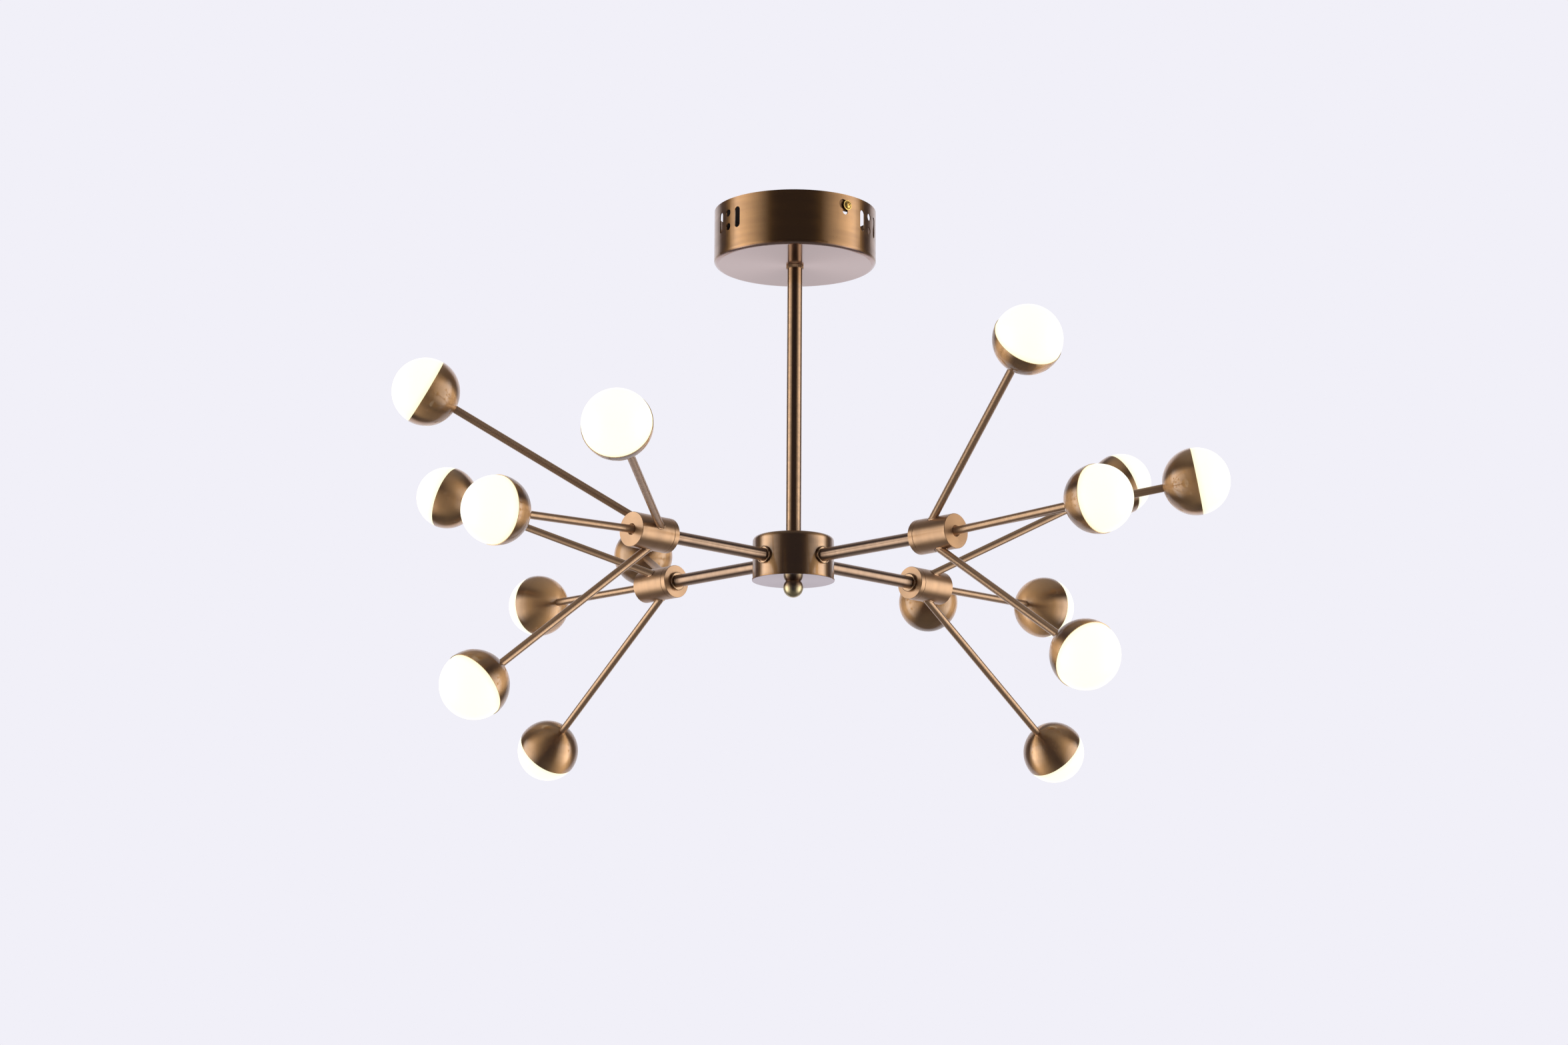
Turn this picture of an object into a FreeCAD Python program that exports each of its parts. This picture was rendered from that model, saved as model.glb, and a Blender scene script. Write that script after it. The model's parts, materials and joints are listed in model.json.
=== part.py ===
import FreeCAD, Part
import math
import os

# Multi-arm chandelier for a ceiling: an open canopy, a stem, a round hub, and four level arms.
# Each arm carries a swivelling cluster of four rods, and each rod ends in a half-metal, half-opal ball.
# Millimetres, +Z up. The origin is the middle of the ceiling plane, where the strap's top face lies.
# Front is -Y. Distances along an arm, a rod or a ball are measured from the frame named beside them.

# Metal sheet and tube
SHEET = 1.2
ARM_DIAMETER = 16.0
ARM_BORE = 13.0
ROD_DIAMETER = 9.5
ROD_BORE = 7.5
STEM_DIAMETER = 19.0
STEM_BORE = 16.0
THREAD_DIAMETER = 10.0
THREAD_BORE = 7.0
THREAD_HOLE = 10.5

# Canopy: a drawn cup, open against the ceiling
CANOPY_RADIUS = 102.0
CANOPY_HEIGHT = 69.0
CANOPY_CORNER = 5.5

# Vents: three groups, each two round holes one above the other between two upright slots
VENT_GROUPS = 3
VENT_FIRST_AZIMUTH = -25.0
VENT_LEVEL = -26.6
VENT_HOLE_DIAMETER = 9.3
VENT_SLOT_WIDTH = 9.0
VENT_SLOT_LENGTH = 26.7
VENT_PITCH = 17.7

# Keyhole cut-outs and side screws, which hang the canopy on the strap's ears
STRAP_AZIMUTH = -50.7
SIDE_SCREW_LEVEL = -13.1
KEY_ENTRY_DIAMETER = 12.5
KEY_ENTRY_OFFSET = -6.4
KEY_ENTRY_LEVEL = -12.7
KEY_NECK_WIDTH = 5.5
KEY_LOBE_DIAMETER = 8.0
KEY_LOBE_OFFSET = -3.3
KEY_LOBE_LEVEL = -21.6
KEY_CHANNEL_WIDTH = 6.5
SIDE_SCREW_DIAMETER = 4.0
SIDE_SCREW_LENGTH = 12.0
SIDE_SCREW_FLANGE_DIAMETER = 13.0
SIDE_SCREW_FLANGE = 0.9
SIDE_SCREW_FLANGE_EDGE = 0.6
SIDE_SCREW_HEAD_DIAMETER = 10.6
SIDE_SCREW_HEAD = 2.3
SIDE_SCREW_HEAD_SHOULDER = 0.72
SIDE_SCREW_TIP = 0.8
RECESS_LENGTH = 5.8
RECESS_WIDTH = 1.1
RECESS_DEPTH = 1.7
RECESS_TURNS = (35.0, 10.0)

# Ceiling strap
STRAP_WIDTH = 26.0
STRAP_THICKNESS = 2.0
STRAP_HALF_LENGTH = 99.9
STRAP_BEND = 3.0
EAR_DROP = 20.5
EAR_CORNER = 4.0
SUPPLY_HOLE_DIAMETER = 12.0
CEILING_SCREW_HOLE = 5.0
CEILING_SCREW_CIRCLE = 150.0

# Wiring inside the canopy
DRIVER_LENGTH = 140.0
DRIVER_WIDTH = 38.0
DRIVER_HEIGHT = 30.0
DRIVER_LEFT = -88.0
DRIVER_FRONT = -46.0
DRIVER_CORNER = 3.0
DRIVER_SEAM = 0.5
DRIVER_SEAM_DROP = 24.0
DRIVER_ENTRY_DIAMETER = 7.0
DRIVER_ENTRY_DEPTH = 5.0
TERMINAL_PITCH = 10.0
TERMINAL_WAYS = 3
TERMINAL_LENGTH = 32.0
TERMINAL_WIDTH = 17.0
TERMINAL_BASE = 8.0
TERMINAL_REACH = 35.0
TOWER_HEIGHT = 6.0
TOWER_LENGTH = 7.4
TOWER_WIDTH = 15.0
TERMINAL_WIRE_HOLE = 3.4
TERMINAL_WIRE_DROP = 9.0
TERMINAL_WELL_DIAMETER = 3.8
TERMINAL_WELL_OFFSET = 4.0
TERMINAL_WELL_FLOOR = 9.0

# Stem, with its knurled ring under the canopy
RING_RADIUS = 10.9
RING_HEIGHT = 4.0
RING_GROOVES = 56
RING_GROOVE_DEPTH = 0.4
RING_CHAMFER = 0.6
NIPPLE_TOP = -50.5
NIPPLE_BOTTOM = -82.5
PLUG_LENGTH = 12.0
THREAD_NUT_FLATS = 17.0
THREAD_NUT_HEIGHT = 6.0
NUT_CHAMFER_SHARE = 0.1

# Hub: a drawn cup turned over, closed by a lid, with a ball finial
ARM_LEVEL = -447.0
HUB_RADIUS = 50.5
HUB_TOP = 28.7
HUB_RIM = -24.3
HUB_CORNER = 5.5
LID_RADIUS = 51.2
LID_THICKNESS = 2.0
LID_EDGE = 0.6
LID_STEP_RADIUS = 49.2
LID_STEP = 1.5
FINIAL_RADIUS = 12.35
FINIAL_HEIGHT = 20.7
FINIAL_DRILLING = 12.0
HUB_ROD_TOP = 36.0
HUB_ROD_BOTTOM = -37.0
HUB_ROD_WINDOW_DIAMETER = 5.0
HUB_ROD_WINDOW_LEVEL = 5.0

# Arms: distances from the lamp's axis
ARM_START = 38.0
ARM_END = 234.0
HUB_COLLAR_DIAMETER = 22.0
HUB_COLLAR_START = 46.0
HUB_COLLAR_END = 54.0
HUB_COLLAR_EDGE = 1.2
HUB_COLLAR_RECESS_DIAMETER = 19.0
HUB_COLLAR_RECESS_DEPTH = 1.5
HUB_COLLAR_RECESS_TAPER = 0.3
ARM_NUT_FLATS = 22.0
ARM_NUT_START = 40.6
ARM_NUT_LENGTH = 7.0
SWIVEL_COLLAR_DIAMETER = 24.0
SWIVEL_COLLAR_START = 208.0
SWIVEL_COLLAR_LENGTH = 3.7
SWIVEL_COLLAR_EDGE = 1.2
SWIVEL_NUT_FLATS = 24.0
SWIVEL_NUT_START = 224.8
SWIVEL_NUT_LENGTH = 7.0

# Clusters: a turned body closed by a cap that swivels on the arm
CLUSTER_RADIUS = 21.0
CLUSTER_BORE_RADIUS = 18.0
CAP_START = 212.0
BODY_START = 219.5
CAP_SPIGOT = 5.0
BODY_END = 271.0
BODY_END_WALL = 5.0
SWIVEL_CLEARANCE = 0.05
SEAM_CHAMFER = 0.4
END_SINK_DIAMETER = 14.0
END_SINK_DEPTH = 2.0

# Rods: three on the side wall that would meet on the arm's axis, and one on the end wall
ROD_MEETING = 218.0
SIDE_ROD_START = 22.0
ROD_DRILL_LENGTH = 40.0
SIDE_BALL_DISTANCE = 330.0
END_ROD_START = -8.0
END_BALL_DISTANCE = 213.0

# Balls: measured from the ball's centre, outward along its rod
CUP_RADIUS = 40.5
DOME_RADIUS = 39.8
DOME_WALL = 2.0
DOME_SKIRT_RADIUS = 38.6
DOME_SKIRT = 5.8
BOARD_THICKNESS = 1.6
BOARD_HOLE = 8.0
LED_COUNT = 8
LED_CIRCLE_RADIUS = 22.0
LED_SIZE = 3.5
LED_HEIGHT = 0.8
ROD_IN_CUP = 3.0

# How each cluster stands: the arm's azimuth, then each rod's lean from the arm's line and its turn
# about it, in degrees. Turn 0 is straight up and grows anticlockwise, as seen from the hub.
CLUSTERS = {
    "front_left": {
        "azimuth": 225.0,
        "side_rods": [(39.0, -42.0), (39.0, 73.0), (39.0, 190.0)],
        "end_rod": (3.0, 150.0),
    },
    "front_right": {
        "azimuth": 315.0,
        "side_rods": [(38.5, -31.0), (38.0, 73.0), (33.0, 191.0)],
        "end_rod": (3.0, 35.0),
    },
    "back_right": {
        "azimuth": 45.0,
        "side_rods": [(37.5, -41.0), (39.5, 81.0), (36.0, 182.0)],
        "end_rod": (2.0, 65.0),
    },
    "back_left": {
        "azimuth": 135.0,
        "side_rods": [(39.0, 54.0), (38.5, -63.0), (36.0, 187.0)],
        "end_rod": (0.5, -60.0),
    },
}

ORIGIN = FreeCAD.Vector(0, 0, 0)
X_AXIS = FreeCAD.Vector(1, 0, 0)
Y_AXIS = FreeCAD.Vector(0, 1, 0)
Z_AXIS = FreeCAD.Vector(0, 0, 1)

# The middle of a quarter circle, as a share of its radius: from its centre, and from the sharp corner
QUARTER_MIDDLE = math.sqrt(0.5)
CORNER_SHARE = 1 - QUARTER_MIDDLE

# How far a cutter runs past the metal it cuts
OVERRUN = 2.0


# Geometry helpers

def shifted(x, y, z):
    """Placement that moves without turning."""
    return FreeCAD.Placement(FreeCAD.Vector(x, y, z), FreeCAD.Rotation())


def turned_about(axis, degrees):
    """Placement that turns about an axis through the origin."""
    return FreeCAD.Placement(ORIGIN, FreeCAD.Rotation(axis, degrees))


def placed(shape, placement):
    """Copy of a shape, moved by a placement."""
    copy = shape.copy()
    copy.Placement = placement.multiply(copy.Placement)
    return copy


def single(shape):
    """The one solid that a boolean operation leaves."""
    solid = shape.removeSplitter().Solids[0]
    if solid.Volume < 0:
        solid.reverse()
    return solid


def profile_edges(steps, to_vector):
    """Edges through a list of corners. A step of two points is an arc: its middle, then its end."""
    edges = []
    here = to_vector(steps[0])
    first = here
    for step in steps[1:]:
        if isinstance(step[0], tuple):
            middle = to_vector(step[0])
            end = to_vector(step[1])
            edges.append(Part.Arc(here, middle, end).toShape())
        else:
            end = to_vector(step)
            edges.append(Part.LineSegment(here, end).toShape())
        here = end
    if here.distanceToPoint(first) > 1e-6:
        edges.append(Part.LineSegment(here, first).toShape())
    return edges


def revolved(steps):
    """Solid of revolution about Z from a closed profile of (radius, height) points."""
    edges = profile_edges(steps, lambda point: FreeCAD.Vector(point[0], 0, point[1]))
    solid = Part.Face(Part.Wire(edges)).revolve(ORIGIN, Z_AXIS, 360)
    return single(solid)


def tube(outer_diameter, inner_diameter, bottom, top):
    """Plain round tube along Z."""
    outer = outer_diameter / 2
    inner = inner_diameter / 2
    return revolved([(inner, bottom), (outer, bottom), (outer, top), (inner, top)])


def hex_nut(flats, bore_diameter, bottom, height):
    """Hexagon nut along Z with both faces' corners turned off."""
    corner_radius = flats / math.sqrt(3)
    corners = []
    for index in range(7):
        angle = math.radians(60 * index)
        x = corner_radius * math.cos(angle)
        y = corner_radius * math.sin(angle)
        corners.append(FreeCAD.Vector(x, y, bottom))
    hexagon = Part.Face(Part.makePolygon(corners)).extrude(FreeCAD.Vector(0, 0, height))
    turned_off = NUT_CHAMFER_SHARE * height
    flat_radius = flats / 2
    top = bottom + height
    blank = revolved([
        (bore_diameter / 2, bottom),
        (flat_radius, bottom),
        (corner_radius, bottom + turned_off),
        (corner_radius, top - turned_off),
        (flat_radius, top),
        (bore_diameter / 2, top),
    ])
    return single(hexagon.common(blank))


def drawn_cup(radius, height, corner, hole_diameter):
    """Round sheet-metal cup: open rim at Z 0, floor at -height with a hole in its middle."""
    bend_radius = radius - corner
    bend_level = -height + corner
    outer_bend = corner * QUARTER_MIDDLE
    inner_bend = (corner - SHEET) * QUARTER_MIDDLE
    hole = hole_diameter / 2
    return revolved([
        (radius, 0),
        (radius, bend_level),
        ((bend_radius + outer_bend, bend_level - outer_bend), (bend_radius, -height)),
        (hole, -height),
        (hole, -height + SHEET),
        (bend_radius, -height + SHEET),
        ((bend_radius + inner_bend, bend_level - inner_bend), (radius - SHEET, bend_level)),
        (radius - SHEET, 0),
    ])


def round_punch(diameter, wall_radius, offset=0.0, level=0.0):
    """Cutter along +X through a round wall, for a hole at an offset across it and a level."""
    start = FreeCAD.Vector(wall_radius / 2, offset, level)
    return Part.makeCylinder(diameter / 2, wall_radius / 2 + OVERRUN, start, X_AXIS)


def slot_punch(width, wall_radius, start, end):
    """Cutter along +X through a round wall, for a slot from one (offset, level) to another."""
    run = math.hypot(end[0] - start[0], end[1] - start[1])
    inner_side = FreeCAD.Vector(wall_radius / 2, 0, -width / 2)
    straight = Part.makeBox(wall_radius / 2 + OVERRUN, run, width, inner_side)
    tilt = math.degrees(math.atan2(end[1] - start[1], end[0] - start[0]))
    straight = placed(straight, shifted(0, start[0], start[1]).multiply(turned_about(X_AXIS, tilt)))
    ends = [round_punch(width, wall_radius, point[0], point[1]) for point in (start, end)]
    return straight.multiFuse(ends)


def arm_frame(azimuth, distance):
    """Frame on an arm: its Z runs outward along the arm and its X points up."""
    outward = turned_about(Y_AXIS, 90).multiply(turned_about(Z_AXIS, 180))
    level = shifted(0, 0, ARM_LEVEL).multiply(turned_about(Z_AXIS, azimuth))
    return level.multiply(outward).multiply(shifted(0, 0, distance))


def rod_frame(azimuth, distance, lean, turn):
    """Frame on a rod: its Z runs outward along the rod, from a point on the arm's axis."""
    aimed = turned_about(Z_AXIS, -turn).multiply(turned_about(Y_AXIS, lean))
    return arm_frame(azimuth, distance).multiply(aimed)


def rod_frames(cluster):
    """Each rod's frame, inner end and ball distance: the three side rods, then the end rod."""
    rods = []
    for lean, turn in cluster["side_rods"]:
        frame = rod_frame(cluster["azimuth"], ROD_MEETING, lean, turn)
        rods.append((frame, SIDE_ROD_START, SIDE_BALL_DISTANCE))
    lean, turn = cluster["end_rod"]
    frame = rod_frame(cluster["azimuth"], BODY_END, lean, turn)
    rods.append((frame, END_ROD_START, END_BALL_DISTANCE))
    return rods


# Ceiling strap and canopy

def ceiling_bracket():
    """Bent steel strap: a long flat under the ceiling and a tapped ear turned down at each end."""
    end = STRAP_HALF_LENGTH
    inner_end = end - STRAP_THICKNESS
    bend_centre = end - STRAP_BEND
    outer_bend = STRAP_BEND * QUARTER_MIDDLE
    inner_bend = (STRAP_BEND - STRAP_THICKNESS) * QUARTER_MIDDLE
    outline = [
        (bend_centre, 0),
        ((bend_centre + outer_bend, -STRAP_BEND + outer_bend), (end, -STRAP_BEND)),
        (end, -EAR_DROP),
        (inner_end, -EAR_DROP),
        (inner_end, -STRAP_BEND),
        ((bend_centre + inner_bend, -STRAP_BEND + inner_bend), (bend_centre, -STRAP_THICKNESS)),
        (-bend_centre, -STRAP_THICKNESS),
        ((-bend_centre - inner_bend, -STRAP_BEND + inner_bend), (-inner_end, -STRAP_BEND)),
        (-inner_end, -EAR_DROP),
        (-end, -EAR_DROP),
        (-end, -STRAP_BEND),
        ((-bend_centre - outer_bend, -STRAP_BEND + outer_bend), (-bend_centre, 0)),
    ]
    half_width = STRAP_WIDTH / 2
    edges = profile_edges(outline, lambda point: FreeCAD.Vector(point[0], -half_width, point[1]))
    strap = Part.Face(Part.Wire(edges)).extrude(FreeCAD.Vector(0, STRAP_WIDTH, 0))
    strap = strap.cut(strap_drills())
    ear_corners = [edge for edge in strap.Edges if is_ear_corner(edge)]
    strap = strap.makeFillet(EAR_CORNER, ear_corners)
    return placed(single(strap), turned_about(Z_AXIS, STRAP_AZIMUTH))


def strap_drills():
    """Cutters of the strap's holes: the supply wires, two ceiling screws, and both ears at once."""
    lowest = -STRAP_THICKNESS - OVERRUN
    through = STRAP_THICKNESS + 2 * OVERRUN
    drills = [Part.makeCylinder(SUPPLY_HOLE_DIAMETER / 2, through, FreeCAD.Vector(0, 0, lowest))]
    for side in (-1, 1):
        screw_at = FreeCAD.Vector(side * CEILING_SCREW_CIRCLE / 2, 0, lowest)
        drills.append(Part.makeCylinder(CEILING_SCREW_HOLE / 2, through, screw_at))
    outside = STRAP_HALF_LENGTH + OVERRUN
    ear_start = FreeCAD.Vector(-outside, 0, SIDE_SCREW_LEVEL)
    drills.append(Part.makeCylinder(SIDE_SCREW_DIAMETER / 2, 2 * outside, ear_start, X_AXIS))
    return drills


def is_ear_corner(edge):
    """True for the short edges through an ear's thickness at its two lower corners."""
    box = edge.BoundBox
    short = abs(box.XLength - STRAP_THICKNESS) < 0.01 and box.YLength < 0.01 and box.ZLength < 0.01
    return short and abs(box.ZMin + EAR_DROP) < 0.01


def vent_group():
    """Cutters of one vent group, round azimuth 0: two stacked holes between two upright slots."""
    punches = []
    for level in (VENT_LEVEL - VENT_PITCH / 2, VENT_LEVEL + VENT_PITCH / 2):
        punches.append(round_punch(VENT_HOLE_DIAMETER, CANOPY_RADIUS, 0, level))
    half_run = (VENT_SLOT_LENGTH - VENT_SLOT_WIDTH) / 2
    bottom = (0, VENT_LEVEL - half_run)
    top = (0, VENT_LEVEL + half_run)
    slot = slot_punch(VENT_SLOT_WIDTH, CANOPY_RADIUS, bottom, top)
    slot_angle = math.degrees(VENT_PITCH / CANOPY_RADIUS)
    for side in (-1, 1):
        punches.append(placed(slot, turned_about(Z_AXIS, side * slot_angle)))
    return punches


def keyhole():
    """Cutters of one keyhole, round azimuth 0: a wide entry, a neck to the screw, and a lower lobe."""
    entry = (KEY_ENTRY_OFFSET, KEY_ENTRY_LEVEL)
    lobe = (KEY_LOBE_OFFSET, KEY_LOBE_LEVEL)
    return [
        round_punch(KEY_ENTRY_DIAMETER, CANOPY_RADIUS, entry[0], entry[1]),
        slot_punch(KEY_NECK_WIDTH, CANOPY_RADIUS, entry, (0, SIDE_SCREW_LEVEL)),
        slot_punch(KEY_CHANNEL_WIDTH, CANOPY_RADIUS, entry, lobe),
        round_punch(KEY_LOBE_DIAMETER, CANOPY_RADIUS, lobe[0], lobe[1]),
    ]


def canopy_cup():
    """Canopy: drawn cup with its vents and two keyholes."""
    cup = drawn_cup(CANOPY_RADIUS, CANOPY_HEIGHT, CANOPY_CORNER, THREAD_HOLE)
    tools = []
    for index in range(VENT_GROUPS):
        azimuth = VENT_FIRST_AZIMUTH + index * 360 / VENT_GROUPS
        tools += [placed(punch, turned_about(Z_AXIS, azimuth)) for punch in vent_group()]
    for azimuth in (STRAP_AZIMUTH, STRAP_AZIMUTH + 180):
        tools += [placed(punch, turned_about(Z_AXIS, azimuth)) for punch in keyhole()]
    return single(cup.cut(tools))


def side_screw():
    """Cross-recessed screw with a flange under its round head, along Z, seated at Z 0."""
    shank = SIDE_SCREW_DIAMETER / 2
    flange = SIDE_SCREW_FLANGE_DIAMETER / 2
    head = SIDE_SCREW_HEAD_DIAMETER / 2
    top = SIDE_SCREW_FLANGE + SIDE_SCREW_HEAD
    edge = SIDE_SCREW_FLANGE_EDGE
    shoulder_radius = SIDE_SCREW_HEAD_SHOULDER * head
    shoulder_level = SIDE_SCREW_FLANGE + SIDE_SCREW_HEAD_SHOULDER * SIDE_SCREW_HEAD
    screw = revolved([
        (0, -SIDE_SCREW_LENGTH),
        (shank - SIDE_SCREW_TIP, -SIDE_SCREW_LENGTH),
        (shank, -SIDE_SCREW_LENGTH + SIDE_SCREW_TIP),
        (shank, 0),
        (flange, 0),
        (flange, SIDE_SCREW_FLANGE - edge),
        ((flange - CORNER_SHARE * edge, SIDE_SCREW_FLANGE - CORNER_SHARE * edge),
         (flange - edge, SIDE_SCREW_FLANGE)),
        (head, SIDE_SCREW_FLANGE),
        ((shoulder_radius, shoulder_level), (0, top)),
    ])
    blade_corner = FreeCAD.Vector(-RECESS_LENGTH / 2, -RECESS_WIDTH / 2, top - RECESS_DEPTH)
    blade = Part.makeBox(RECESS_LENGTH, RECESS_WIDTH, RECESS_DEPTH + OVERRUN, blade_corner)
    return single(screw.cut([blade, placed(blade, turned_about(Z_AXIS, 90))]))


def canopy_screws():
    """The two side screws, heads on the canopy's wall and shanks in the strap's ears."""
    seated = shifted(CANOPY_RADIUS, 0, SIDE_SCREW_LEVEL).multiply(turned_about(Y_AXIS, 90))
    screws = []
    for azimuth, recess_turn in zip((STRAP_AZIMUTH, STRAP_AZIMUTH + 180), RECESS_TURNS):
        screw = placed(side_screw(), turned_about(Z_AXIS, recess_turn))
        screws.append(placed(screw, turned_about(Z_AXIS, azimuth).multiply(seated)))
    return Part.makeCompound(screws)


# Wiring pieces on the strap

def led_driver():
    """Closed driver case under the strap, with a lid seam and a wire entry at each end."""
    corner = FreeCAD.Vector(DRIVER_LEFT, DRIVER_FRONT, -STRAP_THICKNESS - DRIVER_HEIGHT)
    case = Part.makeBox(DRIVER_LENGTH, DRIVER_WIDTH, DRIVER_HEIGHT, corner)
    upright = [edge for edge in case.Edges if edge.BoundBox.ZLength > 1]
    case = case.makeFillet(DRIVER_CORNER, upright)
    middle = DRIVER_FRONT + DRIVER_WIDTH / 2
    entry_level = -STRAP_THICKNESS - DRIVER_HEIGHT / 2
    tools = [lid_seam()]
    for start in (DRIVER_LEFT - OVERRUN, DRIVER_LEFT + DRIVER_LENGTH - DRIVER_ENTRY_DEPTH):
        entry = FreeCAD.Vector(start, middle, entry_level)
        length = DRIVER_ENTRY_DEPTH + OVERRUN
        tools.append(Part.makeCylinder(DRIVER_ENTRY_DIAMETER / 2, length, entry, X_AXIS))
    return single(case.cut(tools))


def lid_seam():
    """Cutter of the groove round the driver case where its lid closes."""
    level = -STRAP_THICKNESS - DRIVER_SEAM_DROP
    sides = []
    for margin in (OVERRUN, -DRIVER_SEAM):
        corner = FreeCAD.Vector(DRIVER_LEFT - margin, DRIVER_FRONT - margin, level)
        length = DRIVER_LENGTH + 2 * margin
        sides.append(Part.makeBox(length, DRIVER_WIDTH + 2 * margin, DRIVER_SEAM, corner))
    return sides[0].cut(sides[1])


def terminal_block():
    """Strip of screw terminals on the strap's underside."""
    corner = FreeCAD.Vector(-TERMINAL_LENGTH / 2, -TERMINAL_WIDTH / 2, -TERMINAL_BASE)
    base = Part.makeBox(TERMINAL_LENGTH, TERMINAL_WIDTH, TERMINAL_BASE, corner)
    towers = []
    holes = []
    for way in range(TERMINAL_WAYS):
        middle = (way - (TERMINAL_WAYS - 1) / 2) * TERMINAL_PITCH
        foot = -TERMINAL_BASE - TOWER_HEIGHT
        corner = FreeCAD.Vector(middle - TOWER_LENGTH / 2, -TOWER_WIDTH / 2, foot)
        towers.append(Part.makeBox(TOWER_LENGTH, TOWER_WIDTH, TOWER_HEIGHT, corner))
        holes += terminal_holes(middle)
    block = base.multiFuse(towers).cut(holes)
    beside_supply = shifted(-TERMINAL_REACH, 0, -STRAP_THICKNESS)
    return placed(single(block), turned_about(Z_AXIS, STRAP_AZIMUTH).multiply(beside_supply))


def terminal_holes(middle):
    """Cutters of one terminal: its wire hole right across, and the wells over its two screws."""
    across = TERMINAL_WIDTH + 2 * OVERRUN
    wire_start = FreeCAD.Vector(middle, -across / 2, -TERMINAL_WIRE_DROP)
    holes = [Part.makeCylinder(TERMINAL_WIRE_HOLE / 2, across, wire_start, Y_AXIS)]
    lowest = -TERMINAL_BASE - TOWER_HEIGHT - OVERRUN
    for side in (-TERMINAL_WELL_OFFSET, TERMINAL_WELL_OFFSET):
        well_start = FreeCAD.Vector(middle, side, lowest)
        depth = -TERMINAL_WELL_FLOOR - lowest
        holes.append(Part.makeCylinder(TERMINAL_WELL_DIAMETER / 2, depth, well_start))
    return holes


# Stem

def canopy_nipple():
    """Threaded tube that joins the canopy's floor, the knurled ring and the stem."""
    return tube(THREAD_DIAMETER, THREAD_BORE, NIPPLE_BOTTOM, NIPPLE_TOP)


def canopy_nut():
    """Nut on the nipple, inside the canopy on its floor."""
    return hex_nut(THREAD_NUT_FLATS, THREAD_DIAMETER, -CANOPY_HEIGHT + SHEET, THREAD_NUT_HEIGHT)


def knurled_ring():
    """Lock ring between the canopy and the stem, straight-knurled all round."""
    top = -CANOPY_HEIGHT
    bottom = top - RING_HEIGHT
    points = []
    for index in range(2 * RING_GROOVES + 1):
        angle = math.pi * index / RING_GROOVES
        radius = RING_RADIUS - RING_GROOVE_DEPTH * (index % 2)
        points.append(FreeCAD.Vector(radius * math.cos(angle), radius * math.sin(angle), bottom))
    knurls = Part.Face(Part.makePolygon(points)).extrude(FreeCAD.Vector(0, 0, RING_HEIGHT))
    bore = THREAD_DIAMETER / 2
    blank = revolved([
        (bore, bottom),
        (RING_RADIUS - RING_CHAMFER, bottom),
        (RING_RADIUS, bottom + RING_CHAMFER),
        (RING_RADIUS, top - RING_CHAMFER),
        (RING_RADIUS - RING_CHAMFER, top),
        (bore, top),
    ])
    return single(knurls.common(blank))


def stem_top():
    """Height of the stem's upper end, under the knurled ring."""
    return -CANOPY_HEIGHT - RING_HEIGHT


def stem_tube():
    """Hanging stem from the knurled ring to the hub."""
    return tube(STEM_DIAMETER, STEM_BORE, ARM_LEVEL + HUB_TOP, stem_top())


def stem_plugs():
    """Tapped plug in each end of the stem."""
    foot = ARM_LEVEL + HUB_TOP
    upper = tube(STEM_BORE, THREAD_DIAMETER, stem_top() - PLUG_LENGTH, stem_top())
    lower = tube(STEM_BORE, THREAD_DIAMETER, foot, foot + PLUG_LENGTH)
    return Part.makeCompound([upper, lower])


# Hub

def hub_cup():
    """Hub: drawn cup turned over, with a round hole for each arm."""
    height = HUB_TOP - HUB_RIM
    cup = drawn_cup(HUB_RADIUS, height, HUB_CORNER, THREAD_HOLE)
    upright = shifted(0, 0, ARM_LEVEL + HUB_RIM).multiply(turned_about(X_AXIS, 180))
    arm_hole = round_punch(ARM_DIAMETER, HUB_RADIUS, 0, ARM_LEVEL)
    tools = []
    for cluster in CLUSTERS.values():
        tools.append(placed(arm_hole, turned_about(Z_AXIS, cluster["azimuth"])))
    return single(placed(cup, upright).cut(tools))


def hub_lid():
    """Disc that closes the hub from below, with a step that centres it inside the rim."""
    under = ARM_LEVEL + HUB_RIM - LID_THICKNESS
    rim = ARM_LEVEL + HUB_RIM
    edge_middle = CORNER_SHARE * LID_EDGE
    hole = THREAD_HOLE / 2
    return revolved([
        (hole, under),
        (LID_RADIUS - LID_EDGE, under),
        ((LID_RADIUS - edge_middle, under + edge_middle), (LID_RADIUS, under + LID_EDGE)),
        (LID_RADIUS, rim),
        (LID_STEP_RADIUS, rim),
        (LID_STEP_RADIUS, rim + LID_STEP),
        (hole, rim + LID_STEP),
    ])


def hub_rod():
    """Threaded tube down through the hub, with a cross hole that lets the wires into the arms."""
    rod = tube(THREAD_DIAMETER, THREAD_BORE, ARM_LEVEL + HUB_ROD_BOTTOM, ARM_LEVEL + HUB_ROD_TOP)
    reach = THREAD_DIAMETER
    level = ARM_LEVEL + HUB_ROD_WINDOW_LEVEL
    windows = []
    for axis, x, y in ((X_AXIS, -reach, 0), (Y_AXIS, 0, -reach)):
        start = FreeCAD.Vector(x, y, level)
        windows.append(Part.makeCylinder(HUB_ROD_WINDOW_DIAMETER / 2, 2 * reach, start, axis))
    return single(rod.cut(windows))


def hub_nut():
    """Nut under the hub's roof, which clamps the hub to the stem."""
    roof = ARM_LEVEL + HUB_TOP - SHEET
    return hex_nut(THREAD_NUT_FLATS, THREAD_DIAMETER, roof - THREAD_NUT_HEIGHT, THREAD_NUT_HEIGHT)


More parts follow.
